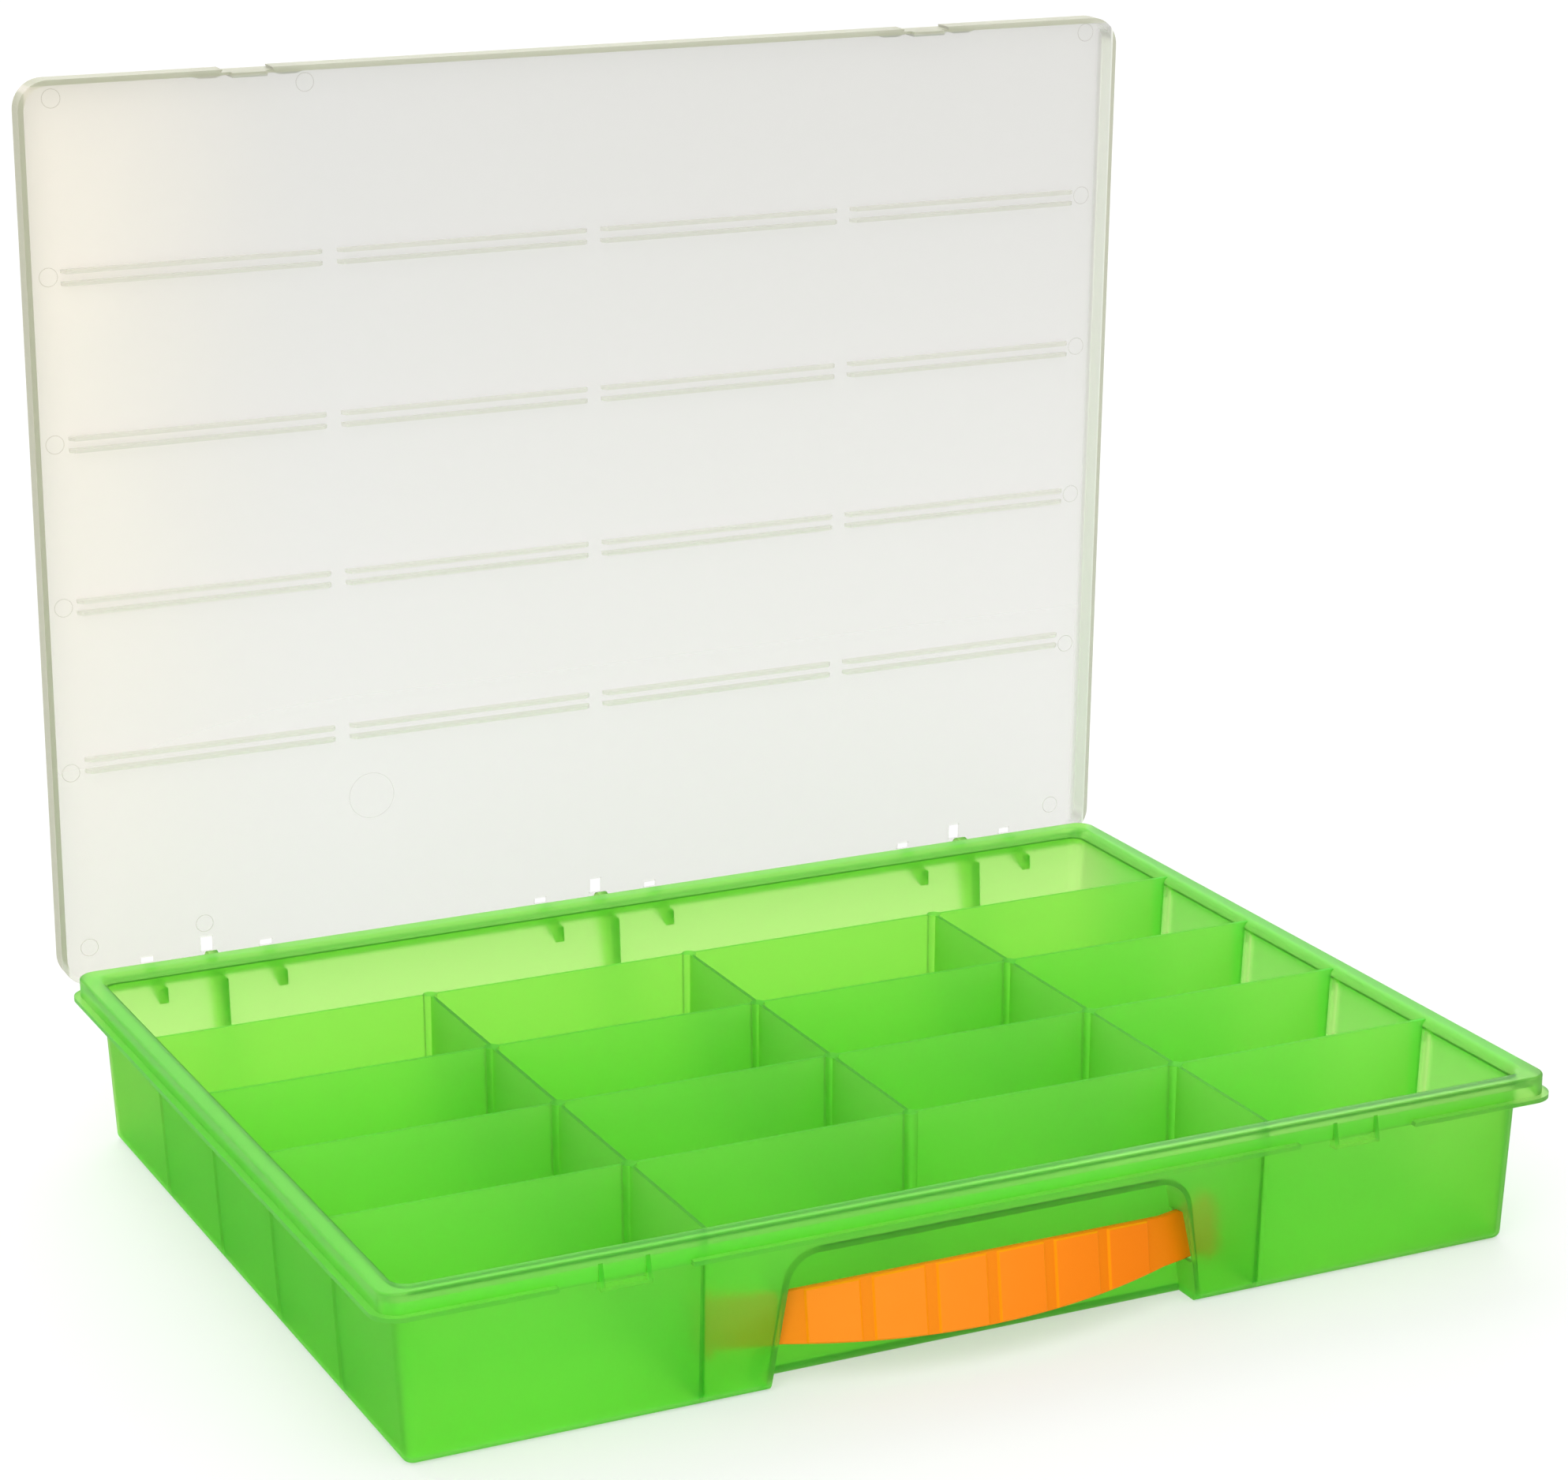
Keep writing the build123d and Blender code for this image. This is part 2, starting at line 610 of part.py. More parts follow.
band_low_z = strap_z - strap_grip_height / 2
with BuildPart() as grip_pads:
    with BuildSketch(Plane.XY.offset(band_low_z)):
        with Locations(bow_centre):
            Circle(strap_radius + strap_thickness / 2 + pad_rise)
            Circle(strap_radius, mode=Mode.SUBTRACT)
        with BuildLine():
            Polyline(
                bow_centre,
                bow_point(2 * strap_radius, -half_angle),
                bow_point(2 * strap_radius, half_angle),
                close=True,
            )
        make_face(mode=Mode.INTERSECT)
    extrude(amount=strap_grip_height)
    # front view: the grip's outline less a border, cut into pads
    with BuildSketch(Plane.XZ.offset(-strap_apex_y)):
        with BuildLine():
            upper = ThreePointArc(
                (strap_x - strap_grip_half_length, strap_z + strap_end_height / 2 - pad_border),
                (strap_x, strap_z + strap_grip_height / 2 - pad_border),
                (strap_x + strap_grip_half_length, strap_z + strap_end_height / 2 - pad_border),
            )
            lower = ThreePointArc(
                (strap_x - strap_grip_half_length, strap_z - strap_end_height / 2 + pad_border),
                (strap_x, strap_z - strap_grip_height / 2 + pad_border),
                (strap_x + strap_grip_half_length, strap_z - strap_end_height / 2 + pad_border),
            )
            Line(upper @ 0, lower @ 0)
            Line(upper @ 1, lower @ 1)
        make_face()
        with Locations((strap_x, strap_z)):
            with GridLocations(pad_pitch, 0, pad_count, 1):
                Rectangle(pad_pitch - pad_groove, strap_grip_height, mode=Mode.INTERSECT)
    extrude(amount=strap_half_length, both=True, mode=Mode.INTERSECT)

with BuildPart() as upright_strap:
    with BuildSketch(Plane.XY.offset(band_low_z)):
        with Locations(bow_centre):
            Circle(strap_radius + strap_thickness / 2)
            Circle(strap_radius - strap_thickness / 2, mode=Mode.SUBTRACT)
        with BuildLine():
            Polyline(
                bow_centre,
                bow_point(2 * strap_radius, -half_angle),
                bow_point(2 * strap_radius, half_angle),
                close=True,
            )
        make_face(mode=Mode.INTERSECT)
    extrude(amount=strap_grip_height)
    with BuildSketch(Plane.XZ.offset(-strap_apex_y)):
        with BuildLine():
            upper = ThreePointArc(
                (strap_x - strap_grip_half_length, strap_z + strap_end_height / 2),
                (strap_x, strap_z + strap_grip_height / 2),
                (strap_x + strap_grip_half_length, strap_z + strap_end_height / 2),
            )
            lower = ThreePointArc(
                (strap_x - strap_grip_half_length, strap_z - strap_end_height / 2),
                (strap_x, strap_z - strap_grip_height / 2),
                (strap_x + strap_grip_half_length, strap_z - strap_end_height / 2),
            )
            Line(upper @ 0, lower @ 0)
            Line(upper @ 1, lower @ 1)
        make_face()
        with Locations((strap_x, strap_z)):
            Rectangle(2 * strap_half_length, strap_end_height)
    extrude(amount=strap_half_length, both=True, mode=Mode.INTERSECT)
    add(grip_pads.part)
    # snap head at the right end, wide at its shoulder so that it can't pull back out
    shoulder_angle = degrees(asin((strap_half_length - head_length) / strap_radius))
    head_plane = Plane(
        origin=(*bow_point(strap_radius, shoulder_angle), strap_z),
        x_dir=(cos(radians(shoulder_angle)), sin(radians(shoulder_angle)), 0),
        z_dir=(sin(radians(shoulder_angle)), -cos(radians(shoulder_angle)), 0),
    )
    with BuildSketch(head_plane):
        with BuildLine():
            Polyline(
                (0, -head_height / 2),
                (head_length, -head_tip_height / 2),
                (head_length, head_tip_height / 2),
                (0, head_height / 2),
                close=True,
            )
        make_face()
    extrude(amount=head_thickness / 2, both=True)
    mirror(about=Plane.YZ.offset(strap_x))

with BuildPart() as carry_strap:
    add(upright_strap.part.rotate(Axis((0, strap_apex_y, strap_z), (1, 0, 0)), -strap_lean))
carry_strap.part.label = "carry_strap"
export_step(carry_strap.part, "parts/carry_strap.step")
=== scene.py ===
# %% [markdown]
# # A parts organizer in frosted and milky plastic
#
# The object is a flat compartment box of three mouldings: a green tray with its dividers, a
# milky lid that stands open on a hinge along the back, and an orange strap that slides in a
# recess of the front wall.  The rigid model comes in first as a fixed frame, in metres.  This
# script makes the plastics, shapes the soft strap and the marks that the mould leaves on the
# lid, and sets up the studio.

import json
from math import radians

import bpy
import numpy as np
from mathutils import Matrix, Vector


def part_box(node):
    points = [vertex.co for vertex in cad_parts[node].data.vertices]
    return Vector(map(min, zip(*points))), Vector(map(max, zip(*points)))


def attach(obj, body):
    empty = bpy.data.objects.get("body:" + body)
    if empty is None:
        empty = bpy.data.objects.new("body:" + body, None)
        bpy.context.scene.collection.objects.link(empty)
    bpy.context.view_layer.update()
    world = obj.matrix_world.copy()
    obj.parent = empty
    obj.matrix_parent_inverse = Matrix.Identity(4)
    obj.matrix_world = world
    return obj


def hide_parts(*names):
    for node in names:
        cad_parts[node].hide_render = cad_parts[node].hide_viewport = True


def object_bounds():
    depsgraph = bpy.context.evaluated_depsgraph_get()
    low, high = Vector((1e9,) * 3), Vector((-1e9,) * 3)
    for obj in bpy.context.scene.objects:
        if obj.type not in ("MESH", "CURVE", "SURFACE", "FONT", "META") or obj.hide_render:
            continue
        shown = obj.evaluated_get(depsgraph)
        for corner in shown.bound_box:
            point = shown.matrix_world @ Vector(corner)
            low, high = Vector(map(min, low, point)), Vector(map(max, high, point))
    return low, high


MM = 0.001  # the frame is in metres, the object's own sizes are easier to read in millimetres

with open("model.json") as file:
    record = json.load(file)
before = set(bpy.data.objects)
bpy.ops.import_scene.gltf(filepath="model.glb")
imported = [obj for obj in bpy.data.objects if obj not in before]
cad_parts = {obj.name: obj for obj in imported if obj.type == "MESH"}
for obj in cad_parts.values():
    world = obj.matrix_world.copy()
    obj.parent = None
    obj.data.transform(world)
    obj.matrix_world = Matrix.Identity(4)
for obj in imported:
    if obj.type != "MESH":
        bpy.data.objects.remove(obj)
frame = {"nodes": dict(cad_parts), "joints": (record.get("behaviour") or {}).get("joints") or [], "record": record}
cad_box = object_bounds()
scene = bpy.context.scene
nodes = frame["nodes"]
bodies = frame["record"]["behaviour"]["bodies"]

# %% [markdown]
# ## Camera
#
# A long lens stands in front of the box and to its left, a little above it, so that the open
# lid and the compartments show together.  The camera's axes are given as vectors, because they
# then go straight into its matrix.  A small lens shift frames the object without tilting the
# camera, which would make the upright edges lean.

# %% Place the camera
CAMERA_AT = Vector((-0.54986, -1.14219, 0.52713))
TO_THE_RIGHT = Vector((0.901024, -0.433766, -0.001700))
AHEAD = Vector((0.410898, 0.854764, -0.317082))
FOCAL_LENGTH = 5212.6 / 1987  # in picture widths
SHIFT = (-0.00077, 0.09663)  # in picture widths

upwards = TO_THE_RIGHT.cross(AHEAD)
lens = bpy.data.cameras.new("camera")
lens.lens = FOCAL_LENGTH * lens.sensor_width
lens.shift_x, lens.shift_y = SHIFT
lens.clip_end = 200
camera = bpy.data.objects.new("camera", lens)
camera.matrix_world = (
    Matrix.Translation(CAMERA_AT) @ Matrix((TO_THE_RIGHT, upwards, -AHEAD)).transposed().to_4x4()
)
scene.collection.objects.link(camera)
scene.camera = camera
scene.view_settings.view_transform = "Standard"
print("lens", round(lens.lens, 1), "mm, shift", SHIFT)

# %% [markdown]
# ## Arithmetic with sockets
#
# A material is a small network of nodes.  Written link by link it soon becomes hard to read, so
# two helpers let it look like ordinary Python.  `Wire` wraps one output socket and overloads the
# operators; each operator adds the Math node that it stands for.  `Network` owns a node tree and
# adds every other kind of node through one method, settings first and sockets after.


# %% Helpers for node networks
class Wire:
    """One output socket, usable in an arithmetic expression of plain values."""

    def __init__(self, tree, socket):
        self.tree, self.socket = tree, socket

    def maths(self, operation, *operands):
        """A Math node with this operation; each operand is a Wire or a number."""
        node = self.tree.nodes.new("ShaderNodeMath")
        node.operation = operation
        for slot, operand in zip(node.inputs, operands):
            if isinstance(operand, Wire):
                self.tree.links.new(operand.socket, slot)
            else:
                slot.default_value = operand
        return Wire(self.tree, node.outputs[0])

    def __add__(self, other):
        return self.maths("ADD", self, other)

    __radd__ = __add__

    def __mul__(self, other):
        return self.maths("MULTIPLY", self, other)

    __rmul__ = __mul__

    def __sub__(self, other):
        return self.maths("SUBTRACT", self, other)

    def __rsub__(self, other):
        return self.maths("SUBTRACT", other, self)

    def __lt__(self, other):
        return self.maths("LESS_THAN", self, other)

    def __abs__(self):
        return self.maths("ABSOLUTE", self)

    def at_least(self, other):
        """The larger of the two."""
        return self.maths("MAXIMUM", self, other)

    def at_most(self, other):
        """The smaller of the two."""
        return self.maths("MINIMUM", self, other)


class Network:
    """A node tree under construction."""

    def __init__(self, tree):
        self.tree = tree
        self.tree.nodes.clear()

    def node(self, kind, settings=None, inputs=None, output=0):
        """Adds a node, its settings first and then its inputs, and returns one of its outputs."""
        made = self.tree.nodes.new("ShaderNode" + kind)
        for key, value in (settings or {}).items():
            setattr(made, key, value)
        for key, value in (inputs or {}).items():
            slot = made.inputs[key]
            if isinstance(value, Wire):
                self.tree.links.new(value.socket, slot)
            else:
                slot.default_value = value
        return Wire(self.tree, made.outputs[output])

    def noise(self, scale, detail=2.0):
        """Noise over the piece's own place in space, between 0 and 1."""
        place = self.node("TexCoord", output="Object")
        return self.node("TexNoise", None, {"Vector": place, "Scale": scale, "Detail": detail})

    def place(self):
        """X, Y and Z of the shaded point in the piece's own space."""
        point = self.node("TexCoord", output="Object")
        return [self.node("SeparateXYZ", None, {"Vector": point}, output=axis) for axis in "XYZ"]

    def step(self, value, low, high):
        """0 below low, 1 above high and smooth in between."""
        return self.node(
            "MapRange",
            {"interpolation_type": "SMOOTHSTEP"},
            {"Value": value, "From Min": low, "From Max": high},
        )

    def blend(self, factor, first, second):
        """A mix of two colours, each a Wire or three numbers."""
        first, second = (c if isinstance(c, Wire) else (*c, 1) for c in (first, second))
        return self.node("Mix", {"data_type": "RGBA"}, {0: factor, 6: first, 7: second}, output=2)

    def mix(self, factor, first, second):
        """A mix of two shaders."""
        return self.node("MixShader", None, {0: factor, 1: first, 2: second})

    def close(self, surface, kind="OutputMaterial"):
        """Connects the finished shader to the tree's output."""
        output = self.tree.nodes.new("ShaderNode" + kind)
        self.tree.links.new(surface.socket, output.inputs["Surface"])


def new_material(name):
    """An empty material and the network to fill it with."""
    material = bpy.data.materials.new(name)
    material.use_nodes = True
    return material, Network(material.node_tree)


print("helpers ready")

# %% [markdown]
# ## Studio
#
# Plain soft light comes from a sky of one strength and a wide sun for direction.  A weaker sun
# from behind shines through the walls, which is what makes such plastic glow, and a softbox at
# the side leaves its reflection along the rounded edges.  The white background costs
# the object nothing.  Light Path tells a ray that comes from the camera, from a reflection or
# through plastic apart from one that lights a surface, and only the first three see pure white.
# The floor is matt and mixes in only some of that white, so the object keeps its shadow.

# %% Sky
SKY_STRENGTH = 0.86

world = bpy.data.worlds.new("studio")
scene.world = world
world.use_nodes = True
sky = Network(world.node_tree)
looked_at = sky.node("LightPath", output="Is Camera Ray")
for other_ray in ("Is Glossy Ray", "Is Transmission Ray"):
    looked_at = looked_at.at_least(sky.node("LightPath", output=other_ray))
even_light = sky.node("Background", None, {"Color": (1, 1, 1, 1), "Strength": SKY_STRENGTH})
white = sky.node("Background", None, {"Color": (1, 1, 1, 1), "Strength": 1.0})
sky.close(sky.mix(looked_at, even_light, white), "OutputWorld")
print("sky strength", SKY_STRENGTH)

# %% Floor
FLOOR_SPAN = 60.0
FLOOR_DROP = 0.2 * MM  # a hair under the tray, so that the two faces don't fight

floor_mesh = bpy.data.meshes.new("floor")
ends = np.array([-FLOOR_SPAN / 2, FLOOR_SPAN / 2])
corners = np.stack([ends[[0, 1, 1, 0]], ends[[0, 0, 1, 1]], np.full(4, -FLOOR_DROP)], axis=1)
floor_mesh.from_pydata(corners.tolist(), [], [(0, 1, 2, 3)])
floor = bpy.data.objects.new("floor", floor_mesh)
scene.collection.objects.link(floor)

WHITE_WHEN_SEEN, WHITE_THROUGH_PLASTIC = 0.45, 0.6  # shares of white, the rest is matt floor

pale, net = new_material("pale floor")
seen = net.node("LightPath", output="Is Camera Ray")
seen_through = net.node("LightPath", output="Is Transmission Ray")
paint = net.node("BsdfDiffuse", None, {"Color": (0.86, 0.86, 0.86, 1)})
glow = net.node("Emission", None, {"Color": (1, 1, 1, 1), "Strength": 1.0})
share_of_white = WHITE_WHEN_SEEN * seen + WHITE_THROUGH_PLASTIC * seen_through
net.close(net.mix(share_of_white, paint, glow))
floor_mesh.materials.append(pale)
print("floor", FLOOR_SPAN, "m wide")


# %% Lamps
def add_lamp(name, kind, place, target, **settings):
    """A lamp at a place, turned so that it shines at a target."""
    data = bpy.data.lights.new(name, kind)
    for key, value in settings.items():
        setattr(data, key, value)
    made = bpy.data.objects.new(name, data)
    made.location = place
    made.rotation_euler = (Vector(target) - Vector(place)).to_track_quat("-Z", "Y").to_euler()
    scene.collection.objects.link(made)


add_lamp("wide sun", "SUN", (-0.5, -0.9, 1.6), (0, 0, 0), energy=0.65, angle=radians(50))
add_lamp("back light", "SUN", (0.3, 1.3, 0.9), (0, 0, 0), energy=1.5, angle=radians(60))
add_lamp("softbox", "AREA", (-1.5, -1.2, 1.4), (0, 0, 0.05), energy=5, size=1.0)

# %% [markdown]
# ## Frosted green
#
# Dyed polypropylene lets most light through but blurs it, more so the further away the thing
# behind it is.  One wall is a pale yellow green; a second and a third wall behind it deepen the
# colour, because each takes away more red and blue.  A single shader can't do both, so a face
# mixes four: a Principled shader for the skin, a Translucent one for light spread out fully, a
# rough Refraction for the soft picture of what is close behind, and a touch of Transparent.  Over
# them lies the sheen, a Glossy shader that a Fresnel node brings in where the face is seen at a
# glancing angle.  The mould's fine grain is a small bump.
#
# Some of the unevenness here is painted light and shade.  The tray's right wall is denser than the
# others, and that is painted shade, which darkens it.  It is clearer again in a strip in front of each
# row divider, as painted light.  The front's green is painted a darker shade towards its right end,
# and the foot of every wall is duller, with less of the blurred see-through.
# Each of these is a mask, 0 or 1 with a smooth step between, made from the shaded point's place
# in the object.  The masks only change the skin's colour and how the four shaders are mixed.


# %% Recipe for see-through plastic
PLASTIC_IOR = 1.45
BLUR_IOR = 1.2  # low, so that what is close behind a wall hardly shifts
GRAIN_SCALE, GRAIN_DETAIL = 1400.0, 3.0
GRAIN_DEPTH = 0.1 * MM


def see_through(net, skin, passed, spread, soft, clear, blur, sheen, gloss, grain):
    """A face of see-through plastic.

    skin is the colour that the face sends back and passed the one that it lets through.  spread,
    soft and clear are mix factors, each taken of what the ones before leave: light fully spread
    out, light that blurs what is behind by blur, and light that goes straight on.  sheen is the
    share of the mirror reflection that the grain leaves, and gloss how far it is smeared.
    """
    fine = net.noise(GRAIN_SCALE, GRAIN_DETAIL)
    bump = net.node("Bump", None, {"Height": fine, "Strength": grain, "Distance": GRAIN_DEPTH})
    colour = (*passed, 1)
    face = net.node(
        "BsdfPrincipled",
        None,
        {
            "Base Color": skin,
            "Roughness": 0.5,
            "Specular IOR Level": 0.1,
            "Normal": bump,
        },
    )
    glowing = net.node("BsdfTranslucent", None, {"Color": colour, "Normal": bump})
    wall = net.mix(spread, face, glowing)
    if soft:
        bent = net.node(
            "BsdfRefraction", None, {"Color": colour, "Roughness": blur, "IOR": BLUR_IOR, "Normal": bump}
        )
        wall = net.mix(soft, wall, bent)
    wall = net.mix(clear, wall, net.node("BsdfTransparent", None, {"Color": colour}))
    mirror = net.node("BsdfGlossy", None, {"Color": (1, 1, 1, 1), "Roughness": gloss, "Normal": bump})
    return net.mix(sheen * net.node("Fresnel", None, {"IOR": PLASTIC_IOR}), wall, mirror)


# %% Mix the green
GREEN_SKIN = (0.11, 0.97, 0.08)
GREEN_SKIN_DEEP = (0.08, 0.88, 0.06)
GREEN_SKIN_SHADED = (0.03, 0.42, 0.02)
THIN_PASSED = (0.84, 0.99, 0.57)
THICK_PASSED = (0.80, 0.985, 0.53)  # the rim is thicker, and takes more red and blue

# Where each mask starts and ends: along X to the right, along Y to the back, along Z up.
FRONT_SHADE_X = (0.0, 0.19)
FRONT_ENDS_Y = (-0.14, -0.13)
SHADED_WALL_X = (0.183, 0.187)
SHADED_WALL_ENDS_Y = (0.10, 0.14)
DULL_FOOT_UP_TO_Z = (1 * MM, 4 * MM)
STRIP_STARTS = (6.5 * MM, 5.0 * MM)  # in front of the middle of a row divider
STRIP_ENDS = (2.5 * MM, 1.5 * MM)


def beside_rows(net, y):
    """1 on the strip in front of each row divider and 0 elsewhere, as a sum of windows."""
    strips = 0
    for name in bodies["tray"]:
        if name.startswith("row_divider"):
            low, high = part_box(name)
            middle = (low[1] + high[1]) / 2
            begun = net.step(y, *(middle - distance for distance in STRIP_STARTS))
            over = net.step(y, *(middle - distance for distance in STRIP_ENDS))
            strips = begun * (1 - over) + strips
    return strips


def green_plastic(name, passed, right_wall_shade, soft, clear, blur, sheen, gloss, grain):
    """The tray's plastic, as frosted or as smooth as the mould was there.

    right_wall_shade is how much painted shade darkens the right wall, by making it denser than the
    others, from 0 to 1.  The rest of the values are those of see_through.
    """
    material, net = new_material(name)
    x, y, z = net.place()
    # painted shade: the front's green is made darker towards its right end
    front_shade = net.step(x, *FRONT_SHADE_X) * (1 - net.step(y, *FRONT_ENDS_Y))
    # painted shade: the right wall is made denser and darker than the others
    shaded_wall = right_wall_shade * net.step(x, *SHADED_WALL_X) * (1 - net.step(y, *SHADED_WALL_ENDS_Y))
    # the foot of every wall is duller, with less of the blurred see-through
    dull_foot = 1 - net.step(z, *DULL_FOOT_UP_TO_Z)
    skin = net.blend(net.noise(9.0), GREEN_SKIN_DEEP, GREEN_SKIN)
    skin = net.blend(0.6 * front_shade, skin, GREEN_SKIN_SHADED)
    spread = 0.45 - 0.17 * shaded_wall
    soft = soft - (0.18 * shaded_wall).at_least(0.42 * dull_foot)
    # painted light: clearer strips in front of the row dividers on the right wall
    clear = clear + 0.5 * shaded_wall * beside_rows(net, y)
    net.close(see_through(net, skin, passed, spread, soft, clear, blur, sheen, gloss, grain))
    return material


FROSTING = {"blur": 0.66, "sheen": 0.03, "gloss": 0.35, "grain": 0.25}
POLISH = {"blur": 0.45, "sheen": 0.22, "gloss": 0.15, "grain": 0.05}

frosted = green_plastic("frosted green", THIN_PASSED, right_wall_shade=1.0, soft=0.69, clear=0.03, **FROSTING)
polished = green_plastic("polished green", THICK_PASSED, right_wall_shade=0.0, soft=0.58, clear=0.03, **POLISH)
thin_green = green_plastic("thin green", THIN_PASSED, right_wall_shade=0.0, soft=0.50, clear=0.45, **POLISH)
print("green:", len(frosted.node_tree.nodes), "nodes")

# %% [markdown]
# ## Milky lid
#
# The lid is undyed polypropylene of the same kind.  Its plate is nearly clear, and it looks
# denser wherever the plastic is thicker or is seen along its length: in the lip round the edge
# and in the ribs.  The lip is found from the piece's own X and Z, as the distance to the outer
# edge, and turns down the clear share there.  The hinge side has no such band, because the web
# there is thin.  The plate is clearest near the hinge and denser away from it.  The inner face
# of the right lip is painted paler, as painted light from the left that falls on it.  The plate is
# also warmer and paler towards its left edge.

# %% Mix the milky plastics
LID_EDGE_X = cad_box[1][0]
LID_EDGE_Z = cad_box[1][2]
LIP_WALL = 1.8 * MM  # thickness of the lip
MILKY_SKIN = (0.68, 0.67, 0.65)
DENSE_SKIN = (0.42, 0.415, 0.40)
WARM_LEFT_SKIN = (1.0, 0.89, 0.71)
LIP_SKIN = (0.50, 0.50, 0.37)
LIT_LIP_SKIN = (0.95, 0.95, 0.90)
MILKY_PASSED = (0.93, 0.925, 0.915)
LIP_FADES_OUT = (LIP_WALL, 1.5 * LIP_WALL)  # from the outer edge
LIT_LIP_FROM = (0.7 * LIP_WALL, 0.9 * LIP_WALL)
LIT_LIP_TO = 2 * LIP_WALL
WARM_LEFT_X = (0.09, LID_EDGE_X)  # to the left
DENSER_Z = (0.05, LID_EDGE_Z)  # away from the hinge

milky, net = new_material("milky clear")
x, _, z = net.place()
from_edge = (LID_EDGE_X - abs(x)).at_most(LID_EDGE_Z - z)
lip = 1 - net.step(from_edge, *LIP_FADES_OUT)
from_right = LID_EDGE_X - x
# painted light: the inner face of the right lip is painted paler
lit_right_lip = net.step(from_right, *LIT_LIP_FROM) * (from_right < LIT_LIP_TO)
# warmer and paler towards the left edge
warm_left = net.step(-1 * x, *WARM_LEFT_X)
denser = net.step(z, *DENSER_Z)
cloud = net.noise(14.0)
plate_skin = net.blend(denser, MILKY_SKIN, DENSE_SKIN)
plate_skin = net.blend(warm_left * (0.6 + 0.4 * cloud), plate_skin, WARM_LEFT_SKIN)
net.close(
    see_through(
        net,
        skin=net.blend(lip, plate_skin, net.blend(lit_right_lip, LIP_SKIN, LIT_LIP_SKIN)),
        passed=MILKY_PASSED,
        spread=0.55 - 0.25 * lip - 0.2 * warm_left,
        soft=0.0,
        clear=(0.78 - 0.30 * denser) * (1 - 0.55 * lip) * (1 - 0.6 * lit_right_lip),
        blur=0.3,
        sheen=0.08,
        gloss=0.25,
        grain=0.15,
    )
)

RAISED_SKIN, RAISED_SKIN_PALE = (0.82, 0.83, 0.70), (0.88, 0.89, 0.76)


def thin_milky(name, clear):
    """The same plastic where it stands up from the plate, clearer the thinner it is."""
    material, net = new_material(name)
    skin = net.blend(net.noise(30.0), RAISED_SKIN, RAISED_SKIN_PALE)
    surface = see_through(
        net,
        skin,
        MILKY_PASSED,
        spread=0.45,
        soft=0.0,
        clear=clear,
        blur=0.3,
        sheen=0.2,
        gloss=0.25,
        grain=0.05,
    )
    net.close(surface)
    return material


milky_rib = thin_milky("milky rib", 0.68)
milky_ring = thin_milky("milky ring", 0.79)
print("lid plastics:", [plastic.name for plastic in (milky, milky_rib, milky_ring)])

# %% [markdown]
# ## Satin orange
#
# The strap is a softer, opaque plastic.  Fingers polish the raised pads, so they are a little
# smoother than the grooves between them, and the grooves are painted darker as painted shade.
# The strap's mesh says which is which: it carries a number at every point, 0 in a groove and 1
# on a pad, and the Attribute node reads it.  Halfway between the two is a pad's side.  The product
# raised * (1 - raised) is largest there, and a paler line is painted along each pad's edge, a
# painted highlight.  The strap is painted paler towards its left end as painted light, and a
# stronger orange towards its right end as painted shade, where it goes into the recess.

# %% Mix the orange
PAD_COLOUR, PAD_COLOUR_LIT, WORN_SPOT = (0.94, 0.205, 0.001), (1.0, 0.290, 0.020), (0.88, 0.235, 0.003)
GROOVE_SHADED, GROOVE_SHADED_LIT = (0.87, 0.215, 0.001), (0.90, 0.265, 0.010)
EDGE_HIGHLIGHT = (1.0, 0.33, 0.002)
LIT_LEFT_X = (-0.05, 0.07)

orange, net = new_material("satin orange")
raised = net.node("Attribute", {"attribute_name": "raised"}, output="Fac")
mottle = net.noise(60.0)
x, _, _ = net.place()
# painted light towards the strap's left end, painted shade towards its right
lit_left = 1 - net.step(x, *LIT_LEFT_X)
pad_paint = net.blend(lit_left, PAD_COLOUR, PAD_COLOUR_LIT)
pad_paint = net.blend(0.3 * mottle, pad_paint, WORN_SPOT)
# painted shade: the grooves are darker than the pads
groove_paint = net.blend(lit_left, GROOVE_SHADED, GROOVE_SHADED_LIT)
# painted highlight along the pads' edges
edge_highlight = (5 * raised * (1 - raised)).at_most(1.0)
paint = net.blend(edge_highlight, net.blend(raised, groove_paint, pad_paint), EDGE_HIGHLIGHT)
fine = net.noise(1800.0, GRAIN_DETAIL)
bump = net.node("Bump", None, {"Height": fine, "Strength": 0.2, "Distance": GRAIN_DEPTH})
net.close(
    net.node(
        "BsdfPrincipled",
        None,
        {
            "Base Color": paint,
            "Roughness": 0.5 - 0.12 * raised + 0.1 * mottle,
            "Specular IOR Level": 0.06,
            "Normal": bump,
        },
    )
)
print("orange:", len(orange.node_tree.nodes), "nodes")

# %% [markdown]
# ## Dressing the frame
#
# The frame's nodes have the true shape already, so they stay and take the plastic of their body.
# Three kinds of node differ from the rest of their body: the rim, which comes from the polished
# part of the mould, the catches, which are so thin that they are nearly clear, and the ribs under
# the lid.  The strap gets its orange here too, although a softer piece takes its place below.


# %% Put the plastics on
def dress(piece, material):
    """The piece's only material becomes this one."""
    piece.data.materials.clear()
    piece.data.materials.append(material)


FINISHES = {"tray": frosted, "lid": milky, "handle": orange}
SPECIAL = {"tray_rim": polished, "latch_catch": thin_green, "lid_rib": milky_rib}

for body, usual in FINISHES.items():
    for name in bodies[body]:
        special = [finish for start, finish in SPECIAL.items() if name.startswith(start)]
        dress(nodes[name], (special or [usual])[0])
print("dressed", len(nodes), "nodes")

# %% [markdown]
# ## The strap
#
# A strap is moulded in soft plastic, so none of its edges is sharp, and its pads rise in a small
# curve.  Here it is one surface of two parameters.  The first runs along the strap, the second
# round its section, a rectangle with round corners.  Half the section's height and thickness are
# functions of the first parameter, which gives the wide grip and the snap heads.  The pads are a
# product of two smooth steps that pushes the front out.  The whole is then wrapped on the bow
# and turned a little, because the strap rests with its lower edge forwards.


